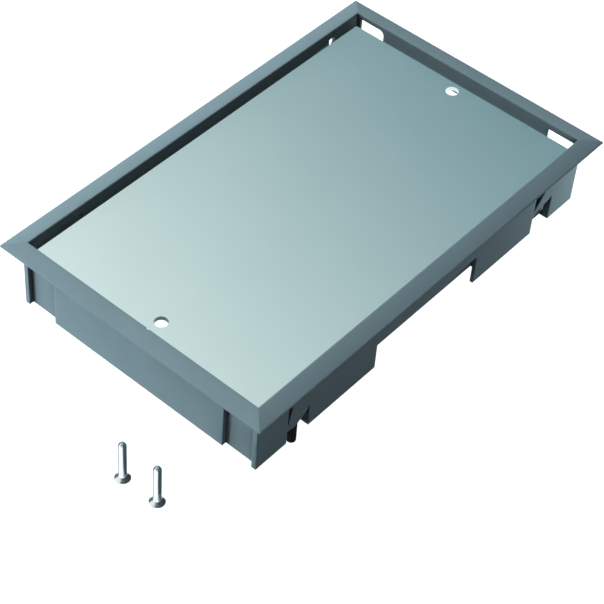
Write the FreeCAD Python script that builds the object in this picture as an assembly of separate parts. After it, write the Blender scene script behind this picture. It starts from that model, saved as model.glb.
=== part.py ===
import FreeCAD, Part
import math
import os
from FreeCAD import Vector

# Floor box cover: a moulded frame with a flange and a deep skirt, a sunk cover plate,
# the plate's two screws and the frame's four levelling screws.
# Millimetres. X runs along the frame, Y across it, +Z up.
# The origin is the middle of the plate's top face.

# Opening inside the flange, and the flange round it
opening_length = 302.4
opening_width = 180.1
flange_reach = 11.8
flange_edge = 0.7
flange_rise = 2.4
flange_crown = 0.25
rim_round = 0.5
pry_notch_radius = 1.7
pry_notch_reach = 1.0
pry_notch_depth = 4.0
pry_notch_y = -7.2

# Tray: the plate lies this far below the rim
tray_depth = 10.4
tray_wall_end = 2.1
tray_wall_side = 2.65

# Skirt, from the flange's underside down
skirt_depth = 47.7
skirt_wall = 2.2

# Recesses in the two ends, beside the corner fins
recess_width = 22.0
recess_depth = 3.1
fin_thickness = 3.3
end_window_drop_round = 0.4
end_window_drop_square = 1.6
end_window_fin_gap = 1.9
end_window_round = 3.8

# Cable outlet through the right end wall, under the ledge
outlet_width = 32.0
outlet_height = 20.0
outlet_gap = 1.0
outlet_round = 4.0

# Cut-outs in the two sides, where the screw bosses stand
pocket_end_distance = 35.65
pocket_width = 18.9
pocket_depth = 6.2
side_window_drop = 3.2
side_window_overlap = 1.2

# Middle of each side, where only a strip of the panel is left above a wall set back
notch_length = 95.6
notch_strip = 24.9
notch_wall_depth = 5.7
notch_wall_end = 39.7
notch_web_setback = 4.0

# Screw bosses, and the webs in front of them that bridge the cut-outs
boss_wall = 1.05
boss_top_drop = 20.2
boss_slant = 11.0
gap_boss_bottom_drop = 36.0
hole_boss_bottom_drop = 33.4
web_thickness = 2.2
web_bevel_width = 3.6
web_bevel_depth = 1.3
# Edges of the two webs, from the cut-out's open side: distance along, drop below the flange
gap_web_edge = [(4.8, 3.2), (3.4, 19.5), (0.0, 33.3), (0.0, 37.8), (12.4, 39.1)]
gap_web_root_drop = 34.0
hole_web_edge = [(0.0, 3.2), (0.0, 12.6), (14.6, 12.6), (8.8, 19.3), (0.0, 29.5),
                 (0.0, 33.3), (5.5, 33.6)]
hole_web_root_drop = 31.0

# Cover plate
plate_thickness = 3.0
plate_gap_end = 0.9
plate_gap_side = 0.3
plate_corner = 0.6
hole_diameter = 8.7
left_hole_inset = 14.5
left_hole_y = -2.6
right_hole_inset = 7.7
right_hole_y = 2.1

# Cover screws: countersunk, standing on their heads
screw_diameter = 4.9
screw_length = 32.5
head_diameter = 9.7
head_edge = 0.45
head_height = 2.9
tip_length = 4.4
tip_diameter = 0.9
tip_bulge = 0.42
cross_width = 1.1
cross_length = 5.4
cross_depth = 1.9
# Each one's distance out from the flange's left edge and in from its near edge
cover_screw_places = {"left": (40.7, 63.55), "right": (39.4, 38.0)}

# Levelling screws
levelling_diameter = 6.0
levelling_length = 24.0
levelling_clearance = 0.05
levelling_top_gap = 1.0
levelling_foot_below_skirt = 8.4
levelling_end_round = 0.9
socket_flats = 3.0
socket_depth = 3.2

# Places worked out from the sizes
opening_x = opening_length / 2
opening_y = opening_width / 2
wall_x = opening_x + tray_wall_end
wall_y = opening_y + tray_wall_side
rim_z = tray_depth
flange_z = rim_z - flange_rise - flange_edge
ledge_z = -plate_thickness
skirt_z = flange_z - skirt_depth
recess_x = wall_x - recess_depth
recess_far = wall_y - fin_thickness
recess_near = recess_far - recess_width
pocket_centre = wall_x - pocket_end_distance
pocket_y = wall_y - pocket_depth
pocket_near = pocket_centre - pocket_width / 2
pocket_far = pocket_centre + pocket_width / 2
inner_x = recess_x - skirt_wall
inner_y = pocket_y - skirt_wall
plate_x = opening_x - plate_gap_end
plate_y = opening_y - plate_gap_side
bore_radius = levelling_diameter / 2 + levelling_clearance
boss_radius = bore_radius + boss_wall
boss_y = wall_y - boss_radius
boss_top = flange_z - boss_top_drop
floor_z = skirt_z - levelling_foot_below_skirt
gap_web = (gap_web_edge, gap_web_root_drop, gap_boss_bottom_drop)
hole_web = (hole_web_edge, hole_web_root_drop, hole_boss_bottom_drop)
stations = [
    ("front_left", -1, -1, gap_web),
    ("front_right", 1, -1, hole_web),
    ("back_left", -1, 1, hole_web),
    ("back_right", 1, 1, gap_web),
]


def block(x0, x1, y0, y1, z0, z1):
    """A box between two corners."""
    return Part.makeBox(x1 - x0, y1 - y0, z1 - z0, Vector(x0, y0, z0))


def mirrored_block(side_x, side_y, x0, x1, y0, y1, z0, z1):
    """A box given in the first quadrant, moved to the quadrant of side_x and side_y."""
    xs = sorted((side_x * x0, side_x * x1))
    ys = sorted((side_y * y0, side_y * y1))
    return block(xs[0], xs[1], ys[0], ys[1], z0, z1)


def prism(points, z0, z1):
    """A plan outline raised from z0 to z1."""
    corners = [Vector(x, y, z0) for x, y in points]
    wire = Part.makePolygon(corners + corners[:1])
    return Part.Face(wire).extrude(Vector(0, 0, z1 - z0))


def all_quadrants(points):
    """Closes an outline given in the first quadrant by mirroring it in X and Y."""
    second = [(-x, y) for x, y in reversed(points)]
    third = [(-x, -y) for x, y in points]
    fourth = [(x, -y) for x, y in reversed(points)]
    return points + second + third + fourth


def skirt_outside():
    """Plan outline of the skirt's outer faces, with the end recesses and side cut-outs."""
    return all_quadrants([
        (wall_x, recess_near),
        (recess_x, recess_near),
        (recess_x, recess_far),
        (wall_x, recess_far),
        (wall_x, wall_y),
        (pocket_far, wall_y),
        (pocket_far, pocket_y),
        (pocket_near, pocket_y),
        (pocket_near, wall_y),
    ])


def skirt_inside():
    """The same outline one wall thickness further in."""
    wall = skirt_wall
    return all_quadrants([
        (wall_x - wall, recess_near - wall),
        (inner_x, recess_near - wall),
        (inner_x, wall_y - wall),
        (pocket_far + wall, wall_y - wall),
        (pocket_far + wall, inner_y),
        (pocket_near - wall, inner_y),
        (pocket_near - wall, wall_y - wall),
    ])


def flange_profile():
    """Section of the flange as (distance out from the opening, height) edges."""
    edge_top = flange_z + flange_edge
    middle = Vector(flange_reach / 2, 0, (edge_top + rim_z) / 2 + flange_crown)
    inner_foot = Vector(0, 0, flange_z)
    outer_foot = Vector(flange_reach, 0, flange_z)
    outer_top = Vector(flange_reach, 0, edge_top)
    inner_top = Vector(0, 0, rim_z)
    edges = [
        Part.LineSegment(inner_foot, outer_foot).toShape(),
        Part.LineSegment(outer_foot, outer_top).toShape(),
        Part.Arc(outer_top, middle, inner_top).toShape(),
        Part.LineSegment(inner_top, inner_foot).toShape(),
    ]
    return Part.Wire(edges)


def flange_side(half_out, half_along, turn):
    """One side of the flange: the section carried along it and mitred at both ends."""
    reach = flange_reach
    length = 2 * (half_along + reach)
    section = Part.Face(flange_profile())
    section.translate(Vector(half_out, -length / 2, 0))
    bar = section.extrude(Vector(0, length, 0))
    mitre = prism([
        (half_out, -half_along),
        (half_out + reach, -half_along - reach),
        (half_out + reach, half_along + reach),
        (half_out, half_along),
    ], flange_z - 1, rim_z + 1)
    side = bar.common(mitre)
    side.rotate(Vector(0, 0, 0), Vector(0, 0, 1), turn)
    return side


def flange():
    """The four mitred sides of the flange."""
    sides = []
    for turn in (0, 180):
        sides.append(flange_side(opening_x, opening_y, turn))
    for turn in (90, 270):
        sides.append(flange_side(opening_y, opening_x, turn))
    return sides[0].fuse(sides[1:])


def tray_wall():
    """The wall between the ledge and the flange."""
    outside = block(-wall_x, wall_x, -wall_y, wall_y, ledge_z, flange_z)
    inside = block(-opening_x, opening_x, -opening_y, opening_y, ledge_z, flange_z)
    return outside.cut(inside)


def skirt():
    """The skirt, one wall that steps in at the recesses and cut-outs."""
    return prism(skirt_outside(), skirt_z, ledge_z).cut(prism(skirt_inside(), skirt_z, ledge_z))


def ledge():
    """The shelf inside the skirt's top that the plate lies on."""
    shelf = prism(skirt_outside(), ledge_z - skirt_wall, ledge_z)
    hole = block(-inner_x, inner_x, -inner_y, inner_y, ledge_z - skirt_wall, ledge_z)
    return shelf.cut(hole)


def notch_cuts():
    """The part of each side panel that is missing below the middle strip."""
    half = notch_length / 2
    strip_z = flange_z - notch_strip
    margin = 1
    return [
        mirrored_block(1, side, -half, half, wall_y - skirt_wall, wall_y + margin,
                       skirt_z - margin, strip_z)
        for side in (-1, 1)
    ]


def notch_walls():
    """The wall set back behind each notch, with the webs that carry it."""
    strip_z = flange_z - notch_strip
    bottom = flange_z - notch_wall_end
    top = strip_z + skirt_wall
    web = notch_length / 2 + notch_web_setback
    end = web + skirt_wall
    behind = wall_y - skirt_wall
    front = wall_y - notch_wall_depth
    back = front - skirt_wall
    walls = []
    for side in (-1, 1):
        walls.append(mirrored_block(1, side, -end, end, back, front, bottom, top))
        walls.append(mirrored_block(1, side, -end, end, back, behind, strip_z, top))
        for side_x in (-1, 1):
            walls.append(mirrored_block(side_x, side, web, end, back, behind, bottom, top))
    return walls


def end_window(side_x, side_y, rounded):
    """A window in an end wall above the ledge, one upper corner rounded or square."""
    top = flange_z - (end_window_drop_round if rounded else end_window_drop_square)
    near = recess_near
    far = recess_far - end_window_fin_gap
    window = mirrored_block(side_x, side_y, inner_x, wall_x + 1, near, far, ledge_z, top)
    if not rounded:
        return window
    radius = end_window_round
    corner = mirrored_block(side_x, side_y, inner_x, wall_x + 1, near, near + radius,
                            top - radius, top)
    start = Vector(side_x * (wall_x + 1), side_y * (near + radius), top - radius)
    rod = Part.makeCylinder(radius, wall_x + 1 - inner_x, start, Vector(-side_x, 0, 0))
    return window.cut(corner.cut(rod))


def side_window(side_x, side_y):
    """The window over a side cut-out, a little wider than it on the web's open side."""
    x = side_x * pocket_centre
    half = pocket_width / 2
    ends = (x - half, x + half + side_window_overlap)
    if side_y < 0:
        ends = (x - half - side_window_overlap, x + half)
    ys = sorted((side_y * (opening_y - 1), side_y * (wall_y + 1)))
    return block(ends[0], ends[1], ys[0], ys[1], ledge_z, flange_z - side_window_drop)


def web_outline(web):
    """A web's corners in its own plane, with X from the boss axis."""
    edge, root_drop, bottom_drop = web
    half = pocket_width / 2
    points = [(distance - half, flange_z - drop) for distance, drop in edge]
    return points + [(half, flange_z - root_drop), (half, flange_z - side_window_drop)]


def web_bevel(start, end):
    """The wedge that bevels a web's lower edge from start to end on its outside.

    It is as wide as web_bevel_width on the outer face and web_bevel_depth deep at the edge.
    """
    along = Vector(end[0] - start[0], 0, end[1] - start[1])
    length = along.Length
    along.normalize()
    down = Vector(along.z, 0, -along.x)
    ridge = Vector(start[0], -wall_y, start[1]) - down * web_bevel_width
    beyond = ridge + down * (2 * web_bevel_width)
    deep = beyond + Vector(0, 2 * web_bevel_depth, 0)
    wire = Part.makePolygon([ridge, beyond, deep, ridge])
    wedge = Part.Face(wire).extrude(along * (length + 2 * web_bevel_width))
    wedge.translate(along * -web_bevel_width)
    return wedge


def boss(web):
    """A screw boss with its slanted top and its web, standing at the axis X = 0.

    The web's outer face and the boss's front line lie in the panel's outer plane.
    """
    bottom = flange_z - web[2]
    column = Part.makeCylinder(boss_radius, boss_top - bottom, Vector(0, -boss_y, bottom))
    slope = math.degrees(math.atan2(boss_slant, 2 * boss_radius))
    room = 2 * boss_slant + 4 * boss_radius
    waste = Part.makeBox(room, room, room, Vector(-room, -boss_y - room / 2, 0))
    waste.rotate(Vector(0, 0, 0), Vector(0, 1, 0), 90 - slope)
    waste.translate(Vector(boss_radius, 0, boss_top))
    column = column.cut(waste)
    points = web_outline(web)
    corners = [Vector(x, -wall_y, z) for x, z in points]
    sheet = Part.Face(Part.makePolygon(corners + corners[:1]))
    panel = sheet.extrude(Vector(0, web_thickness, 0))
    knee = len(points) - 3
    panel = panel.cut(web_bevel(points[knee], points[knee + 1]))
    return column.fuse(panel)


def placed_boss(side_x, side_y, web):
    """A boss moved to its cut-out; those of the far side are turned half round."""
    piece = boss(web)
    if side_y > 0:
        piece.rotate(Vector(0, 0, 0), Vector(0, 0, 1), 180)
    piece.translate(Vector(side_x * pocket_centre, 0, 0))
    return piece


def bore(side_x, side_y):
    """The levelling screw's hole, open from the ledge to below the boss."""
    start = Vector(side_x * pocket_centre, side_y * boss_y, skirt_z)
    return Part.makeCylinder(bore_radius, ledge_z - skirt_z, start)


def cable_outlet():
    """The outlet in the right end wall, with rounded corners."""
    top = ledge_z - skirt_wall - outlet_gap
    half = outlet_width / 2
    margin = 1
    hole = block(wall_x - skirt_wall - margin, wall_x + margin, -half, half,
                 top - outlet_height, top)
    along = [edge for edge in hole.Edges if edge.BoundBox.XLength > skirt_wall]
    return hole.makeFillet(outlet_round, along)


def pry_notch():
    """A shallow rounded notch down the rim's inner edge, near the middle of the left end."""
    start = Vector(-opening_x + pry_notch_radius - pry_notch_reach, pry_notch_y,
                   rim_z - pry_notch_depth)
    return Part.makeCylinder(pry_notch_radius, pry_notch_depth + 1, start)


def round_rim(body):
    """Rounds the inner edge of the flange's top."""
    edges = []
    for edge in body.Edges:
        box = edge.BoundBox
        level = abs(box.ZMin - rim_z) < 1e-6 and abs(box.ZMax - rim_z) < 1e-6
        inside = box.XMax <= opening_x + 1e-6 and box.YMax <= opening_y + 1e-6
        if level and inside:
            edges.append(edge)
    return body.makeFillet(rim_round, edges)


def frame():
    """The whole frame as one moulding."""
    body = flange().fuse([tray_wall(), skirt(), ledge()])
    cuts = notch_cuts() + [cable_outlet()]
    for side_x in (-1, 1):
        for side_y in (-1, 1):
            cuts.append(end_window(side_x, side_y, side_x == side_y))
            cuts.append(side_window(side_x, side_y))
    body = body.cut(cuts)
    bosses = [placed_boss(side_x, side_y, web) for name, side_x, side_y, web in stations]
    body = body.fuse(notch_walls() + bosses)
    body = body.cut([bore(side_x, side_y) for name, side_x, side_y, web in stations])
    return round_rim(body.removeSplitter()).cut(pry_notch())


def cover_plate():
    """The plate with its two holes."""
    plate = block(-plate_x, plate_x, -plate_y, plate_y, ledge_z, 0)
    upright = [edge for edge in plate.Edges if edge.BoundBox.ZLength > plate_thickness / 2]
    plate = plate.makeFillet(plate_corner, upright)
    for x, y in ((-plate_x + left_hole_inset, left_hole_y),
                 (plate_x - right_hole_inset, right_hole_y)):
        start = Vector(x, y, ledge_z)
        plate = plate.cut(Part.makeCylinder(hole_diameter / 2, plate_thickness, start))
    return plate


def cover_screw(place):
    """A countersunk screw standing on its head."""
    radius = screw_diameter / 2
    head = head_diameter / 2
    tip = tip_diameter / 2
    corners = [
        Vector(tip, 0, screw_length),
        Vector(0, 0, screw_length),
        Vector(0, 0, 0),
        Vector(head, 0, 0),
        Vector(head, 0, head_edge),
        Vector(radius, 0, head_height),
        Vector(radius, 0, screw_length - tip_length),
    ]
    bulge = Vector((radius + tip) / 2 + tip_bulge, 0, screw_length - tip_length / 2)
    edges = [Part.LineSegment(a, b).toShape() for a, b in zip(corners, corners[1:])]
    edges.append(Part.Arc(corners[-1], bulge, corners[0]).toShape())
    face = Part.Face(Part.Wire(edges))
    body = face.revolve(Vector(0, 0, 0), Vector(0, 0, 1), 360)
    half = cross_length / 2
    thin = cross_width / 2
    for slot in (block(-half, half, -thin, thin, 0, cross_depth),
                 block(-thin, thin, -half, half, 0, cross_depth)):
        body = body.cut(slot)
    out, across = place
    x = -opening_x - flange_reach - out
    y = -opening_y - flange_reach + across
    body.translate(Vector(x, y, floor_z))
    return body


def levelling_screw(side_x, side_y, bottom):
    """A headless screw with a hexagon socket and a rounded lower end."""
    radius = levelling_diameter / 2
    start = Vector(side_x * pocket_centre, side_y * boss_y, bottom)
    body = Part.makeCylinder(radius, levelling_length, start)
    low = [edge for edge in body.Edges if abs(edge.BoundBox.ZMax - bottom) < 1e-6]
    body = body.makeFillet(levelling_end_round, low)
    top = bottom + levelling_length
    across = socket_flats / math.sqrt(3)
    corners = [
        (start.x + across * math.cos(math.radians(60 * k)),
         start.y + across * math.sin(math.radians(60 * k)))
        for k in range(6)
    ]
    return body.cut(prism(corners, top - socket_depth, top))


def main():
    """Writes every piece."""
    os.makedirs("parts", exist_ok=True)
    pieces = {"frame": frame(), "cover_plate": cover_plate()}
    for name, place in cover_screw_places.items():
        pieces["cover_screw_" + name] = cover_screw(place)
    raised = ledge_z - levelling_top_gap - levelling_length
    for name, side_x, side_y, web in stations:
        bottom = floor_z if name == "front_left" else raised
        pieces["levelling_screw_" + name] = levelling_screw(side_x, side_y, bottom)
    for name, shape in pieces.items():
        print(name, shape.isValid(), len(shape.Solids), round(shape.Volume, 1))
        shape.exportStep("parts/" + name + ".step")


main()
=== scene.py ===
import math

import bpy
import numpy as np
from bpy.props import (
    FloatProperty,
    FloatVectorProperty,
    PointerProperty,
)
from mathutils import Matrix, Vector


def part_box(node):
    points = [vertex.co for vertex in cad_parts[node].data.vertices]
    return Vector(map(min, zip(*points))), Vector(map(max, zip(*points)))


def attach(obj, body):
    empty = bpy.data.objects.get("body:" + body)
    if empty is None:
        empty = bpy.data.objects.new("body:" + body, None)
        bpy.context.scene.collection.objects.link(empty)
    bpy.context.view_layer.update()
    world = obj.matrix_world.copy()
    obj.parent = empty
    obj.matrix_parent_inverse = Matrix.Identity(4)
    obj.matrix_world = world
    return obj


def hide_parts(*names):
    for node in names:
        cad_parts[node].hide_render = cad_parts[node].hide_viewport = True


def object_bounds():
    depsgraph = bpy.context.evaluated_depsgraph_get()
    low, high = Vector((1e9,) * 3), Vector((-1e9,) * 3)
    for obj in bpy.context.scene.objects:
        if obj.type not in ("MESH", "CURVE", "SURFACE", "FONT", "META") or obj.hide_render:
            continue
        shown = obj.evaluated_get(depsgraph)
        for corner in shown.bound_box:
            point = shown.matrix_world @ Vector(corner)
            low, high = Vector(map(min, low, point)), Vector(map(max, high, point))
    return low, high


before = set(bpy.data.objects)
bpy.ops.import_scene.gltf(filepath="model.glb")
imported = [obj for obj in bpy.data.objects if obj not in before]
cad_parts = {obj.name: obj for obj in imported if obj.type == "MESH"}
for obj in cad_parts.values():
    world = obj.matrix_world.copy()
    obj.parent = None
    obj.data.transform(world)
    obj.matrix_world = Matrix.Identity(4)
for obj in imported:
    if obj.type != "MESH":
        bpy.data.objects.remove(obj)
CAD_BOX = [list(corner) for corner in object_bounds()]

bl_info = {
    "name": "Floor box cover",
    "version": (1, 0, 0),
    "blender": (4, 5, 0),
    "location": "3D View > Sidebar > Floor box cover",
    "description": "Finishes, screw threads, studio and camera for a floor box cover",
    "category": "Object",
}

MM = 0.001
LEVELLING = ("front_left", "front_right", "back_left", "back_right")

# Cover screw, from the flat face of its head up to its point
SHANK_RADIUS = 2.45 * MM
CROSS_HALF_LENGTH = 2.7 * MM
CROSS_HALF_WIDTH = 0.55 * MM
CROSS_DEPTH = 1.9 * MM
HEAD_ROUND = 0.12 * MM
HEAD_EDGE = 0.45 * MM
HEAD_LIP = 0.62 * MM
HEAD_HEIGHT = 2.9 * MM
COVER_THREAD_START = 3.2 * MM
TIP_LENGTH = 3.9 * MM
TIP_POWER = 1.6
POINT_RADIUS = 0.12 * MM
POINT_HEIGHT = 0.03 * MM

# Levelling screw, from its rounded lower end up to its socket
FOOT_ROUND = 0.9 * MM
HEXAGON_FLATS = 3.0 * MM
SOCKET_WALL = 2.9 * MM
SOCKET_DEPTH = 3.2 * MM
LEVELLING_THREAD_START = 1.1 * MM
LEVELLING_THREAD_END = 0.7 * MM
TOP_EDGE = 0.6 * MM
TOP_CHAMFER = 0.5 * MM

# Share of half a turn of thread that is flat crest, and that its flank takes
CREST_SHARE = 0.12
FLANK_SHARE = 0.68
RINGS_PER_TURN = 10

# Cards beside a cover screw, and from the screws to the cards on the camera's side
CARD_GAP = 5.6 * MM
CARD_TOP = 34.0 * MM
CAMERA_CARD_DISTANCE = 0.35


# Sizes and colours a user would change


class FinishSettings(bpy.types.PropertyGroup):
    """Colours and roughness of the cover's four finishes."""

    moulding: FloatVectorProperty(
        name="Moulding", description="Colour of the moulded frame",
        subtype="COLOR", size=3, min=0.0, max=1.0, default=(0.146, 0.215, 0.243))
    moulding_roughness: FloatProperty(
        name="Moulding roughness", description="Roughness of the moulded faces",
        subtype="FACTOR", min=0.0, max=1.0, default=0.52)
    plate: FloatVectorProperty(
        name="Plate", description="Colour of the cover plate's sheet steel",
        subtype="COLOR", size=3, min=0.0, max=1.0, default=(0.62, 0.76, 0.77))
    plate_roughness: FloatProperty(
        name="Plate roughness", description="Roughness of the plate's rolled faces",
        subtype="FACTOR", min=0.0, max=1.0, default=0.36)
    # Painted shade on the plate's cut sides at the left end.
    cut_side_painted_shade: FloatVectorProperty(
        name="Cut edge", description="Colour of the plate's cut sides at the left end",
        subtype="COLOR", size=3, min=0.0, max=1.0, default=(0.085, 0.130, 0.150))
    zinc: FloatVectorProperty(
        name="Zinc", description="Colour of the cover screws' zinc plating",
        subtype="COLOR", size=3, min=0.0, max=1.0, default=(0.82, 0.87, 0.89))
    dark_steel: FloatVectorProperty(
        name="Blackened steel", description="Colour of the levelling screws",
        subtype="COLOR", size=3, min=0.0, max=1.0, default=(0.008, 0.010, 0.012))


class ThreadSettings(bpy.types.PropertyGroup):
    """Threads of the cover screws and the levelling screws."""

    cover_pitch: FloatProperty(
        name="Cover screw pitch", description="Rise of the cover screws' thread in one turn",
        unit="LENGTH", min=0.3 * MM, max=2 * MM, precision=5, default=0.8 * MM)
    cover_depth: FloatProperty(
        name="Cover screw thread depth", description="Depth of the thread under its crest",
        unit="LENGTH", min=0.0, max=1 * MM, precision=5, default=0.13 * MM)
    levelling_pitch: FloatProperty(
        name="Levelling screw pitch", description="Rise of the levelling screws' thread",
        unit="LENGTH", min=0.3 * MM, max=2 * MM, precision=5, default=1.0 * MM)
    levelling_depth: FloatProperty(
        name="Levelling screw thread depth", description="Depth of the thread",
        unit="LENGTH", min=0.0, max=1 * MM, precision=5, default=0.5 * MM)


class StudioSettings(bpy.types.PropertyGroup):
    """Camera, lamps and background."""

    camera_place: FloatVectorProperty(
        name="Camera place", description="Camera position in the part's frame",
        subtype="TRANSLATION", unit="LENGTH", size=3, precision=4,
        default=(-0.66666, -0.50467, 0.80174))
    azimuth: FloatProperty(
        name="Azimuth", description="Turn of the view; 0 looks along +Y, 90 along -X",
        subtype="ANGLE", default=math.radians(-51.688))
    elevation: FloatProperty(
        name="Elevation", description="Height of the view above the horizon",
        subtype="ANGLE", default=math.radians(45.351))
    roll: FloatProperty(
        name="Roll", description="Tilt of the picture, its right side up",
        subtype="ANGLE", default=math.radians(4.194))
    lens: FloatProperty(
        name="Lens", description="Focal length on a 36 mm sensor, in millimetres",
        min=20.0, max=300.0, default=113.056)
    shift: FloatVectorProperty(
        name="Shift", description="Sideways and upward shift of the lens",
        size=2, precision=4, default=(0.0356, -0.0853))
    back_power: FloatProperty(
        name="Back lamp", description="Power of the low lamp behind the cover, in watts",
        min=0.0, max=500.0, default=33.0)
    high_power: FloatProperty(
        name="High lamp", description="Power of the lamp high behind the cover, in watts",
        min=0.0, max=500.0, default=19.0)
    top_power: FloatProperty(
        name="Top lamp", description="Power of the lamp overhead, in watts",
        min=0.0, max=500.0, default=9.8)
    left_power: FloatProperty(
        name="Left strip", description="Power of the strip by the left end, in watts",
        min=0.0, max=500.0, default=6.5)
    corner_power: FloatProperty(
        name="Corner strip", description="Power of the strip by the near right corner, in watts",
        min=0.0, max=500.0, default=0.125)
    front_power: FloatProperty(
        name="Front lamp", description="Power of the lamp over the camera's shoulder, in watts",
        min=0.0, max=500.0, default=3.0)
    fill: FloatProperty(
        name="Fill", description="Strength of the surroundings on matt surfaces",
        min=0.0, max=2.0, default=0.02)
    floor_bounce: FloatProperty(
        name="Floor bounce", description="Share of light that the pale floor gives back",
        subtype="FACTOR", min=0.0, max=1.0, default=0.28)


# Small makers for materials and meshes


class Tree:
    """A material's node tree, filled with short calls."""

    def __init__(self, name):
        self.material = bpy.data.materials.new(name)
        self.material.use_nodes = True
        self.tree = self.material.node_tree
        self.tree.nodes.clear()
        self.out = self.tree.nodes.new("ShaderNodeOutputMaterial")

    def add(self, kind, **values):
        """A node, with its fields and unlinked sockets set by name."""
        node = self.tree.nodes.new("ShaderNode" + kind)
        for key, value in values.items():
            if hasattr(node, key):
                setattr(node, key, value)
            else:
                node.inputs[key.replace("_", " ").capitalize()].default_value = value
        return node

    def link(self, source, output, target, socket):
        self.tree.links.new(source.outputs[output], target.inputs[socket])

    def noise(self, coords, scale, detail=2.0, stretch=None):
        """Noise on object coordinates, in cells per metre, stretched by axis factors."""
        node = self.add("TexNoise")
        node.inputs["Scale"].default_value = scale
        node.inputs["Detail"].default_value = detail
        if stretch:
            turn = self.add("Mapping")
            turn.inputs["Scale"].default_value = stretch
            self.link(coords, "Object", turn, "Vector")
            self.link(turn, "Vector", node, "Vector")
        else:
            self.link(coords, "Object", node, "Vector")
        return node

    def ranged(self, source, output, start, end, low=0.0, high=1.0):
        """Maps a value from start..end to low..high, and holds it beyond both ends."""
        node = self.add("MapRange")
        limits = {"From Min": start, "From Max": end, "To Min": low, "To Max": high}
        for socket, value in limits.items():
            node.inputs[socket].default_value = value
        self.link(source, output, node, "Value")
        return node

    def rounding(self, radius, samples):
        """A normal that is rounded over the edges."""
        node = self.add("Bevel", samples=samples)
        node.inputs["Radius"].default_value = radius
        return node

    def bumped(self, height, strength, distance, rounded, shader):
        """Gives the shader a bump on top of a rounded normal."""
        node = self.add("Bump")
        node.inputs["Strength"].default_value = strength
        node.inputs["Distance"].default_value = distance
        self.link(height, "Fac", node, "Height")
        self.link(rounded, "Normal", node, "Normal")
        self.link(node, "Normal", shader, "Normal")

    def rough(self, noise, low, high, shader):
        """Gives the shader a roughness that follows a noise."""
        gloss = self.ranged(noise, "Fac", 0.0, 1.0, low, high)
        self.link(gloss, "Result", shader, "Roughness")


def mix_colour(made, factor, output, a, b):
    """Mixes two plain colours by a factor node."""
    node = made.add("Mix", data_type="RGBA")
    node.inputs[6].default_value = (*a, 1.0)
    node.inputs[7].default_value = (*b, 1.0)
    made.tree.links.new(factor.outputs[output], node.inputs[0])
    return node


def scaled(colour, factor):
    return tuple(min(1.0, c * factor) for c in colour)


def dress(obj, material):
    """Gives an object one material in every slot."""
    if not obj.data.materials:
        obj.data.materials.append(material)
    for slot in obj.material_slots:
        slot.material = material


def surface_object(name, rings_r, rings_z, place, smooth_angle=38.0):
    """A closed turned surface.

    Ring k holds the radius r(k, angle) and height z(k, angle) at equal angles, and
    the point is (r cos angle, r sin angle, z) beside the axis at place. The first and
    last rings have radius 0 and become single points.
    """
    rows, columns = rings_r.shape
    angle = np.linspace(0.0, 2.0 * np.pi, columns, endpoint=False)
    x = place[0] + rings_r[1:-1] * np.cos(angle)
    y = place[1] + rings_r[1:-1] * np.sin(angle)
    z = place[2] + rings_z[1:-1]
    body = np.stack([x, y, z], axis=-1).reshape(-1, 3)
    first = np.array([[place[0], place[1], place[2] + rings_z[0, 0]]])
    last = np.array([[place[0], place[1], place[2] + rings_z[-1, 0]]])
    points = np.concatenate([body, first, last])
    index = np.arange((rows - 2) * columns).reshape(rows - 2, columns)
    right = np.roll(index, -1, axis=1)
    quads = np.stack([index[:-1], right[:-1], right[1:], index[1:]], axis=-1).reshape(-1, 4)
    low, high = len(body), len(body) + 1
    start = np.stack([right[0], index[0], np.full(columns, low)], axis=-1)
    end = np.stack([index[-1], right[-1], np.full(columns, high)], axis=-1)
    mesh = bpy.data.meshes.new(name)
    mesh.from_pydata(points.tolist(), [], quads.tolist() + start.tolist() + end.tolist())
    mesh.update()
    mesh.set_sharp_from_angle(angle=math.radians(smooth_angle))
    mesh.shade_smooth()
    obj = bpy.data.objects.new(name, mesh)
    bpy.context.scene.collection.objects.link(obj)
    return obj


class Rings:
    """The rings of a turned surface, put one after the other from its start to its end."""

    def __init__(self, columns):
        self.angle = np.linspace(0.0, 2.0 * np.pi, columns, endpoint=False)
        self.radii, self.heights = [], []

    def put(self, radius, height):
        """A ring with one radius or one for each angle, and likewise its height."""
        self.radii.append(np.broadcast_to(radius, self.angle.shape))
        self.heights.append(np.broadcast_to(height, self.angle.shape))

    def thread(self, heights, radii, pitch, depth, start, end, runout):
        """Rings with a thread cut into them."""
        for height, radius in zip(heights, radii):
            level = np.full(self.angle.shape, height)
            cut = thread_groove(level, self.angle, pitch, depth, start, end, runout)
            self.put(radius - cut, height)

    def turned(self, name, place):
        return surface_object(name, np.array(self.radii), np.array(self.heights), place)


def thread_groove(z, angle, pitch, depth, start, end, runout):
    """How far the thread cuts in under the crest.

    The place in one turn is t = z / pitch - angle / (2 pi), less its whole part. The cut is
    0 at t = 0 and the full depth at t = 1/2, with flat crests and roots and straight flanks,
    and it fades in and out over runout at both ends.
    """
    turn = z / pitch - angle / (2.0 * np.pi)
    away = 1.0 - np.abs(2.0 * (turn - np.floor(turn)) - 1.0)
    cut = np.clip((away - CREST_SHARE) / FLANK_SHARE, 0.0, 1.0)
    fade = np.clip((z - start) / runout, 0.0, 1.0) * np.clip((end - z) / runout, 0.0, 1.0)
    return depth * cut * fade


def cross_outline(angle, half_length, half_width):
    """Distance from the axis to the outline of two crossed bars, at each angle."""
    c = np.maximum(np.abs(np.cos(angle)), 1e-6)
    s = np.maximum(np.abs(np.sin(angle)), 1e-6)
    along_x = np.minimum(half_length / c, half_width / s)
    along_y = np.minimum(half_length / s, half_width / c)
    return np.maximum(along_x, along_y)


def hexagon_outline(angle, flats):
    """Distance from the axis to a hexagon with that width across its flats."""
    sector = np.mod(angle, np.pi / 3.0) - np.pi / 6.0
    return flats / 2.0 / np.cos(sector)


# Materials


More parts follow.
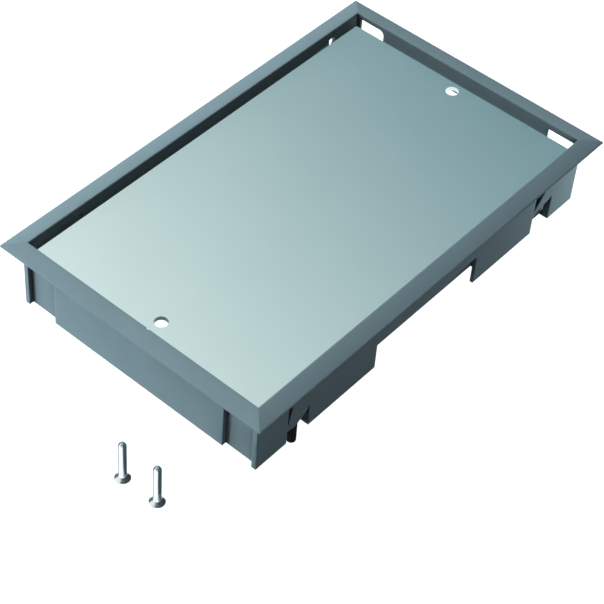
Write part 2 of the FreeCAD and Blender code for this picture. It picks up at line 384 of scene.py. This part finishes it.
def moulding_material(settings):
    """Moulded plastic: fine grain, faint mottling, paler edges that are partly wear and partly
    painted highlight, and painted shade in corners and slots.
    """
    made = Tree("moulded_frame")
    coords = made.add("TexCoord")
    shader = made.add("BsdfPrincipled")
    mottle = made.noise(coords, scale=60.0, detail=4.0)
    fine = made.noise(coords, scale=2200.0, detail=3.0)
    base = mix_colour(made, mottle, "Fac", scaled(settings.moulding, 0.93),
                      scaled(settings.moulding, 1.07))
    # Paler edges: partly wear, partly a painted highlight where light catches the rounded edges.
    worn_and_lit = made.add("Mix", data_type="RGBA")
    made.link(edge_wear_and_highlight(made, 0.7 * MM), "Result", worn_and_lit, 0)
    made.tree.links.new(base.outputs[2], worn_and_lit.inputs[6])
    worn_and_lit.inputs[7].default_value = (*scaled(settings.moulding, 1.38), 1.0)
    # Painted shade: the colour is darkened by ambient occlusion in corners, slots and under
    # overhangs.
    painted_shade = made.add("VectorMath", operation="SCALE")
    made.tree.links.new(worn_and_lit.outputs[2], painted_shade.inputs[0])
    made.link(corner_shade(made, 10.0 * MM), "Result", painted_shade, "Scale")
    made.link(painted_shade, "Vector", shader, "Base Color")
    made.rough(fine, settings.moulding_roughness - 0.07, settings.moulding_roughness + 0.07,
               shader)
    made.bumped(fine, strength=0.16, distance=0.04 * MM,
                rounded=made.rounding(1.5 * MM, samples=6), shader=shader)
    shader.inputs["Specular IOR Level"].default_value = 0.04
    made.link(shader, "BSDF", made.out, "Surface")
    return made.material


def edge_wear_and_highlight(made, width):
    """How much paler a place is drawn, partly as wear and partly as a painted highlight: 0 on a
    face, up to 1 on an edge, where the rounded normal turns.
    """
    facing = made.add("VectorMath", operation="DOT_PRODUCT")
    made.link(made.rounding(width, samples=6), "Normal", facing, 0)
    made.link(made.add("NewGeometry"), "Normal", facing, 1)
    return made.ranged(facing, "Value", start=1.0, end=0.72)


def corner_shade(made, reach):
    """How bright a place is: 1 in the open, down to 0.05 deep in a slot or corner."""
    corner = made.add("AmbientOcclusion", samples=8, only_local=True)
    corner.inputs["Distance"].default_value = reach
    return made.ranged(corner, "AO", start=0.50, end=0.95, low=0.05)


def plate_material(settings):
    """Rolled sheet steel under zinc: faint lengthwise rolling lines, a soft cloudiness, and
    painted shade and light on its cut sides.
    """
    made = Tree("plate_steel")
    coords = made.add("TexCoord")
    shader = made.add("BsdfPrincipled")
    rolled = made.noise(coords, scale=900.0, detail=3.0, stretch=(0.05, 1.0, 1.0))
    cloud = made.noise(coords, scale=22.0, detail=3.0)
    base = mix_colour(made, cloud, "Fac", scaled(settings.plate, 0.975),
                      scaled(settings.plate, 1.025))
    # Upright cut sides get painted shade and light in place of the plate's colour.
    shaded_cut_sides = made.add("Mix", data_type="RGBA")
    made.link(levelness(made, coords), "Value", shaded_cut_sides, 0)
    made.tree.links.new(cut_side_light_and_shade(made, coords, settings).outputs[2], shaded_cut_sides.inputs[6])
    made.tree.links.new(base.outputs[2], shaded_cut_sides.inputs[7])
    made.tree.links.new(shaded_cut_sides.outputs[2], shader.inputs["Base Color"])
    made.rough(rolled, settings.plate_roughness - 0.05, settings.plate_roughness + 0.05, shader)
    made.bumped(rolled, strength=0.06, distance=0.02 * MM,
                rounded=made.rounding(0.25 * MM, samples=4), shader=shader)
    shader.inputs["Metallic"].default_value = 1.0
    made.link(shader, "BSDF", made.out, "Surface")
    return made.material


def levelness(made, coords):
    """1 on a level face, 0 on an upright one."""
    normal = made.add("SeparateXYZ")
    made.link(coords, "Normal", normal, "Vector")
    level = made.add("Math", operation="ABSOLUTE")
    made.link(normal, "Z", level, 0)
    return level


def cut_side_light_and_shade(made, coords, settings):
    """Painted shade and light on the plate's cut sides: dark at its left end, bright at its
    right.
    """
    place = made.add("SeparateXYZ")
    made.link(coords, "Object", place, "Vector")
    along = made.ranged(place, "X", start=-100.0 * MM, end=100.0 * MM)
    return mix_colour(made, along, "Result", settings.cut_side_painted_shade, scaled(settings.plate, 1.1))


def screw_material(name, colour, roughness, metallic):
    """Plated or blackened steel with fine wear in its gloss."""
    made = Tree(name)
    coords = made.add("TexCoord")
    shader = made.add("BsdfPrincipled")
    grain = made.noise(coords, scale=1500.0, detail=3.0)
    base = mix_colour(made, grain, "Fac", scaled(colour, 0.93), scaled(colour, 1.05))
    made.tree.links.new(base.outputs[2], shader.inputs["Base Color"])
    made.rough(grain, roughness - 0.04, roughness + 0.06, shader)
    shader.inputs["Metallic"].default_value = metallic
    shader.inputs["Specular IOR Level"].default_value = 0.5 * metallic + 0.1
    made.link(shader, "BSDF", made.out, "Surface")
    return made.material


# Pieces


class OBJECT_OT_cover_finishes(bpy.types.Operator):
    """Gives the frame and the plate their materials."""

    bl_idname = "object.cover_finishes"
    bl_label = "Finish the frame and plate"

    def execute(self, context):
        finish = context.scene.cover_finish
        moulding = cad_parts["frame"]
        dress(moulding, moulding_material(finish))
        moulding.visible_glossy = False
        dress(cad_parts["cover_plate"], plate_material(finish))
        return {"FINISHED"}


class OBJECT_OT_cover_screws(bpy.types.Operator):
    """Makes the two threaded countersunk screws that stand beside the frame."""

    bl_idname = "object.cover_screws"
    bl_label = "Make the cover screws"

    def execute(self, context):
        finish = context.scene.cover_finish
        zinc = screw_material("zinc_screw", finish.zinc, roughness=0.24, metallic=1.0)
        for side in ("left", "right"):
            node = "cover_screw_" + side
            screw = countersunk_screw(node + "_threaded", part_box(node),
                                      context.scene.cover_threads)
            dress(screw, zinc)
            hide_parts(node)
            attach(screw, "root")
        return {"FINISHED"}


def countersunk_screw(name, box, threads):
    """A countersunk screw on its head: cross recess, cone, threaded shank, pointed tip.

    With t the share of the tip's height, its radius is shank (1 - t^1.6), so that it
    leaves the shank level and ends in a point.
    """
    low, high = box
    length = high.z - low.z
    head = (high.x - low.x) / 2
    face = head * 0.97
    rings = Rings(96)
    cross = cross_outline(rings.angle, CROSS_HALF_LENGTH, CROSS_HALF_WIDTH)
    rings.put(0.0, CROSS_DEPTH)
    rings.put(cross * 0.55, CROSS_DEPTH)
    rings.put(cross * 0.86, CROSS_DEPTH * 0.92)
    for share in (0.0, 0.35, 0.75, 1.0):
        rings.put(cross + (face - cross) * share, 0.0)
    rings.put(head, HEAD_ROUND)
    rings.put(head, HEAD_EDGE)
    rings.put(head * 0.975, HEAD_LIP)
    for share in np.linspace(0.2, 0.9, 6):
        rings.put(head + (SHANK_RADIUS - head) * share,
                  HEAD_EDGE + (HEAD_HEIGHT - HEAD_EDGE) * share)
    rings.put(SHANK_RADIUS * 1.02, HEAD_HEIGHT - 0.04 * MM)
    tip_start = length - TIP_LENGTH
    heights = np.arange(COVER_THREAD_START, length - 0.2 * MM,
                        threads.cover_pitch / RINGS_PER_TURN)
    rise = np.clip((heights - tip_start) / TIP_LENGTH, 0.0, 1.0)
    rings.thread(heights, SHANK_RADIUS * (1.0 - rise ** TIP_POWER), threads.cover_pitch,
                 threads.cover_depth, COVER_THREAD_START, tip_start, runout=0.8 * MM)
    rings.put(POINT_RADIUS, length - POINT_HEIGHT)
    rings.put(0.0, length)
    return rings.turned(name, ((low.x + high.x) / 2, (low.y + high.y) / 2, low.z))


class OBJECT_OT_levelling_screws(bpy.types.Operator):
    """Makes the four threaded levelling screws in the frame's bosses."""

    bl_idname = "object.levelling_screws"
    bl_label = "Make the levelling screws"

    def execute(self, context):
        finish = context.scene.cover_finish
        dark = screw_material("dark_screw", finish.dark_steel, roughness=0.55, metallic=0.0)
        for corner in LEVELLING:
            node = "levelling_screw_" + corner
            screw = grub_screw(node + "_threaded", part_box(node), context.scene.cover_threads)
            dress(screw, dark)
            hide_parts(node)
            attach(screw, "levelling_" + corner)
        return {"FINISHED"}


def grub_screw(name, box, threads):
    """A headless screw: rounded lower end, threaded shank, hexagon socket in its top.

    Over the rounding, with q from 0 to a quarter turn and e the rounding's size, the
    radius is r - e + e sin q and the height is e (1 - cos q).
    """
    low, high = box
    length = high.z - low.z
    radius = (high.x - low.x) / 2
    flat = radius - FOOT_ROUND
    rings = Rings(72)
    rings.put(0.0, 0.0)
    rings.put(flat * 0.5, 0.0)
    for q in np.linspace(0.0, np.pi / 2, 7):
        rings.put(flat + FOOT_ROUND * np.sin(q), FOOT_ROUND * (1 - np.cos(q)))
    thread_end = length - LEVELLING_THREAD_END
    heights = np.arange(LEVELLING_THREAD_START, thread_end,
                        threads.levelling_pitch / RINGS_PER_TURN)
    rings.thread(heights, np.full(heights.shape, radius), threads.levelling_pitch,
                 threads.levelling_depth, LEVELLING_THREAD_START, thread_end,
                 runout=0.6 * MM)
    hexagon = hexagon_outline(rings.angle, HEXAGON_FLATS)
    rim = radius - TOP_CHAMFER
    rings.put(radius, length - TOP_EDGE)
    rings.put(rim, length)
    rings.put((hexagon + rim) / 2, length)
    rings.put(hexagon, length)
    rings.put(hexagon * 0.98, length - SOCKET_WALL)
    rings.put(hexagon * 0.5, length - SOCKET_DEPTH)
    rings.put(0.0, length - SOCKET_DEPTH)
    return rings.turned(name, ((low.x + high.x) / 2, (low.y + high.y) / 2, low.z))


# Stage


def studio_floor(settings, level):
    """A pale floor: white where the camera, gloss or glass looks, with the object's shadow."""
    mesh = bpy.data.meshes.new("studio_floor")
    side = 6.0
    corners = [(-side, -side, level), (side, -side, level), (side, side, level),
               (-side, side, level)]
    mesh.from_pydata(corners, [], [(0, 1, 2, 3)])
    mesh.update()
    floor = bpy.data.objects.new("studio_floor", mesh)
    bpy.context.scene.collection.objects.link(floor)
    made = Tree("studio_floor")
    rays = made.add("LightPath")
    seen = made.add("Math", operation="MAXIMUM")
    made.link(rays, "Is Camera Ray", seen, 0)
    made.link(rays, "Is Glossy Ray", seen, 1)
    clear = made.add("Math", operation="MAXIMUM")
    made.link(seen, "Value", clear, 0)
    made.link(rays, "Is Transmission Ray", clear, 1)
    paint = made.add("BsdfDiffuse")
    pale = scaled((0.84, 1.0, 1.11), settings.floor_bounce)
    paint.inputs["Color"].default_value = (*pale, 1.0)
    glow = made.add("Emission")
    made.link(clear, "Value", glow, "Strength")
    both = made.add("AddShader")
    made.link(paint, "BSDF", both, 0)
    made.link(glow, "Emission", both, 1)
    made.link(both, "Shader", made.out, "Surface")
    dress(floor, made.material)


def studio_world(settings):
    """Even surroundings for matt surfaces, white where the camera, gloss or glass looks.

    Gloss that lights a matt surface sees the even surroundings, so that the plate throws
    no second light on the walls round it.
    """
    world = bpy.data.worlds.new("studio_world")
    bpy.context.scene.world = world
    world.use_nodes = True
    tree = world.node_tree
    tree.nodes.clear()
    out = tree.nodes.new("ShaderNodeOutputWorld")
    rays = tree.nodes.new("ShaderNodeLightPath")
    direct = tree.nodes.new("ShaderNodeMath")
    direct.operation = "SUBTRACT"
    direct.use_clamp = True
    tree.links.new(rays.outputs["Is Glossy Ray"], direct.inputs[0])
    tree.links.new(rays.outputs["Diffuse Depth"], direct.inputs[1])
    seen = tree.nodes.new("ShaderNodeMath")
    seen.operation = "MAXIMUM"
    tree.links.new(rays.outputs["Is Camera Ray"], seen.inputs[0])
    tree.links.new(direct.outputs["Value"], seen.inputs[1])
    clear = tree.nodes.new("ShaderNodeMath")
    clear.operation = "MAXIMUM"
    tree.links.new(seen.outputs["Value"], clear.inputs[0])
    tree.links.new(rays.outputs["Is Transmission Ray"], clear.inputs[1])
    plain = tree.nodes.new("ShaderNodeBackground")
    plain.inputs["Color"].default_value = (0.78, 1.0, 1.15, 1.0)
    plain.inputs["Strength"].default_value = settings.fill
    white = tree.nodes.new("ShaderNodeBackground")
    white.inputs["Color"].default_value = (1.0, 1.0, 1.0, 1.0)
    white.inputs["Strength"].default_value = 1.0
    choose = tree.nodes.new("ShaderNodeMixShader")
    tree.links.new(clear.outputs["Value"], choose.inputs[0])
    tree.links.new(plain.outputs["Background"], choose.inputs[1])
    tree.links.new(white.outputs["Background"], choose.inputs[2])
    tree.links.new(choose.outputs["Shader"], out.inputs["Surface"])


def aimed(obj, place, target):
    """Puts a lamp at a place, looking at a target."""
    direction = Vector(target) - Vector(place)
    obj.matrix_world = (Matrix.Translation(Vector(place))
                        @ direction.to_track_quat("-Z", "Y").to_matrix().to_4x4())


def soft_lamp(name, azimuth, elevation, power, distance=1.8, size=0.9, height=0.9):
    """A lamp aimed at the middle of the object, not mirrored in metal.

    Its azimuth is counted from +X towards +Y, in degrees.
    """
    a, e = math.radians(azimuth), math.radians(elevation)
    place = (distance * math.cos(a) * math.cos(e), distance * math.sin(a) * math.cos(e),
             distance * math.sin(e))
    lamp = bpy.data.lights.new(name, "AREA")
    lamp.shape = "RECTANGLE"
    lamp.size = size
    lamp.size_y = height
    lamp.energy = power
    obj = bpy.data.objects.new(name, lamp)
    bpy.context.scene.collection.objects.link(obj)
    aimed(obj, place, (0.0, 0.0, 0.0))
    obj.visible_glossy = False
    return obj


def standing_card(name, foot, ahead, start, end, low, high, near, far):
    """An upright card by the screws: it runs from start to end along ahead, low to high."""
    up = Vector((0.0, 0.0, 1.0))
    corners = [foot + ahead * end + up * low, foot + ahead * start + up * low,
               foot + ahead * start + up * high, foot + ahead * end + up * high]
    return grey_card(name, corners, near, far)


def screw_cards(side, box, azimuth):
    """What a cover screw mirrors: dark to its right, a grey edge to its left."""
    low, high = box
    ahead = Vector((-math.sin(azimuth), math.cos(azimuth), 0.0))
    right = Vector((ahead.y, -ahead.x, 0.0))
    foot = Vector(((low.x + high.x) / 2, (low.y + high.y) / 2, low.z))
    dark, edge = (0.060, 0.105, 0.120), (0.13, 0.18, 0.20)
    standing_card("right_of_screw_" + side, foot + right * CARD_GAP, ahead,
                  start=-24.0 * MM, end=13.0 * MM, low=0.0, high=CARD_TOP,
                  near=scaled(dark, 0.4), far=dark)
    standing_card("left_of_screw_" + side, foot - right * CARD_GAP, -ahead,
                  start=-45.0 * MM, end=1.0 * MM, low=0.0, high=CARD_TOP,
                  near=edge, far=edge)


def camera_side_cards(azimuth):
    """What both cover screws mirror towards the camera: grey on the tips, black on the heads."""
    ahead = Vector((-math.sin(azimuth), math.cos(azimuth), 0.0))
    right = Vector((ahead.y, -ahead.x, 0.0))
    screws = (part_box("cover_screw_left")[0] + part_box("cover_screw_right")[1]) / 2
    foot = Vector((screws.x, screws.y, 0.0)) - ahead * CAMERA_CARD_DISTANCE
    grey, black = (0.26, 0.34, 0.37), (0.012, 0.018, 0.021)
    standing_card("tip_card", foot, right, start=-0.60, end=0.60, low=0.03, high=0.19,
                  near=grey, far=grey)
    standing_card("head_card", foot, right, start=-0.17, end=0.30, low=0.19, high=0.52,
                  near=black, far=black)


def grey_card(name, corners, near, far):
    """A card that gloss and metal see from its front and the camera doesn't.

    Its colour runs from near, along its first side, to far, along the opposite side.
    """
    mesh = bpy.data.meshes.new(name)
    mesh.from_pydata(corners, [], [(0, 1, 2, 3)])
    uv = mesh.uv_layers.new(name="card")
    uv.data.foreach_set("uv", [0.0, 0.0, 1.0, 0.0, 1.0, 1.0, 0.0, 1.0])
    mesh.update()
    card = bpy.data.objects.new(name, mesh)
    bpy.context.scene.collection.objects.link(card)
    made = Tree(name)
    place = made.add("UVMap", uv_map="card")
    split = made.add("SeparateXYZ")
    made.link(place, "UV", split, "Vector")
    colour = mix_colour(made, split, "Y", near, far)
    rays = made.add("LightPath")
    direct = made.add("Math", operation="SUBTRACT", use_clamp=True)
    direct.inputs[0].default_value = 1.0
    made.link(rays, "Diffuse Depth", direct, 1)
    glow = made.add("Emission")
    made.link(direct, "Value", glow, "Strength")
    made.tree.links.new(colour.outputs[2], glow.inputs["Color"])
    clear = made.add("BsdfTransparent")
    side = made.add("NewGeometry")
    either = made.add("MixShader")
    made.link(side, "Backfacing", either, 0)
    made.link(glow, "Emission", either, 1)
    made.link(clear, "BSDF", either, 2)
    made.link(either, "Shader", made.out, "Surface")
    dress(card, made.material)
    card.visible_camera = False
    card.visible_diffuse = False
    card.visible_shadow = False
    return card


def plate_cards():
    """What the plate mirrors: bright over its left end, fading to dark over its right.

    Three cards join in a row. Two lie level overhead, and the last slopes down to the
    floor on the right and turns pale again, which only views from behind see mirrored.
    """
    brightest, bright, dim = (1.55, 1.50, 1.44), (1.27, 1.24, 1.18), (0.0, 0.16, 0.22)
    pale = (0.62, 0.70, 0.72)
    left_near, left_far = (-1.74, -1.76, 1.2), (0.32, 4.40, 1.2)
    fade_near, fade_far = (-0.60, -2.14, 1.2), (1.45, 4.02, 1.2)
    dim_near, dim_far = (0.37, -2.47, 1.2), (2.42, 3.70, 1.2)
    low_near, low_far = (1.49, -2.84, -0.04), (3.54, 3.33, -0.04)
    grey_card("left_card", [left_near, left_far, fade_far, fade_near], brightest, brightest)
    grey_card("overhead_card", [fade_near, fade_far, dim_far, dim_near], bright, dim)
    grey_card("right_card", [dim_near, dim_far, low_far, low_near], dim, pale)


class OBJECT_OT_cover_studio(bpy.types.Operator):
    """Makes the floor, surroundings, lamps, cards and camera."""

    bl_idname = "object.cover_studio"
    bl_label = "Set up the studio"

    def execute(self, context):
        settings = context.scene.cover_studio
        context.scene.view_settings.view_transform = "Standard"
        studio_floor(settings, CAD_BOX[0][2])
        studio_world(settings)
        soft_lamp("back_lamp", azimuth=90, elevation=25, power=settings.back_power)
        soft_lamp("high_lamp", azimuth=110, elevation=40, power=settings.high_power)
        soft_lamp("top_lamp", azimuth=180, elevation=78, power=settings.top_power)
        soft_lamp("front_lamp", azimuth=235, elevation=40, power=settings.front_power)
        soft_lamp("left_strip", azimuth=150, elevation=-1.3, power=settings.left_power,
                  distance=0.9, size=0.4, height=0.05)
        soft_lamp("corner_strip", azimuth=325, elevation=-4, power=settings.corner_power,
                  distance=0.27, size=0.08, height=0.03)
        plate_cards()
        camera_side_cards(settings.azimuth)
        for side in ("left", "right"):
            screw_cards(side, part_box("cover_screw_" + side), settings.azimuth)
        camera_at(context, settings)
        return {"FINISHED"}


def camera_at(context, settings):
    """The camera at the photograph's angle."""
    data = bpy.data.cameras.new("camera")
    data.sensor_width = 36.0
    data.lens = settings.lens
    data.shift_x, data.shift_y = settings.shift
    data.clip_start, data.clip_end = 0.01, 50.0
    obj = bpy.data.objects.new("camera", data)
    context.scene.collection.objects.link(obj)
    a, e = settings.azimuth, settings.elevation
    back = Vector((math.sin(a) * math.cos(e), -math.cos(a) * math.cos(e), math.sin(e)))
    level = (-back).to_track_quat("-Z", "Y").to_matrix().to_4x4()
    turn = Matrix.Rotation(settings.roll, 4, "Z")
    obj.matrix_world = Matrix.Translation(Vector(settings.camera_place)) @ level @ turn
    context.scene.camera = obj


class VIEW3D_PT_floor_box_cover(bpy.types.Panel):
    """Sizes, colours and steps of the floor box cover."""

    bl_label = "Floor box cover"
    bl_idname = "VIEW3D_PT_floor_box_cover"
    bl_space_type = "VIEW_3D"
    bl_region_type = "UI"
    bl_category = "Floor box cover"

    def draw(self, context):
        for group in (context.scene.cover_finish, context.scene.cover_threads,
                      context.scene.cover_studio):
            box = self.layout.box()
            for name in group.__annotations__:
                box.prop(group, name)
        for step in STEPS:
            self.layout.operator(step.bl_idname)


STEPS = (
    OBJECT_OT_cover_finishes,
    OBJECT_OT_cover_screws,
    OBJECT_OT_levelling_screws,
    OBJECT_OT_cover_studio,
)
GROUPS = (FinishSettings, ThreadSettings, StudioSettings)
CLASSES = GROUPS + STEPS + (VIEW3D_PT_floor_box_cover,)


def register():
    for item in CLASSES:
        bpy.utils.register_class(item)
    bpy.types.Scene.cover_finish = PointerProperty(type=FinishSettings)
    bpy.types.Scene.cover_threads = PointerProperty(type=ThreadSettings)
    bpy.types.Scene.cover_studio = PointerProperty(type=StudioSettings)


def unregister():
    del bpy.types.Scene.cover_studio
    del bpy.types.Scene.cover_threads
    del bpy.types.Scene.cover_finish
    for item in reversed(CLASSES):
        bpy.utils.unregister_class(item)


def main():
    register()
    bpy.ops.object.cover_finishes()
    bpy.ops.object.cover_screws()
    bpy.ops.object.levelling_screws()
    bpy.ops.object.cover_studio()


if __name__ == "__main__":
    main()
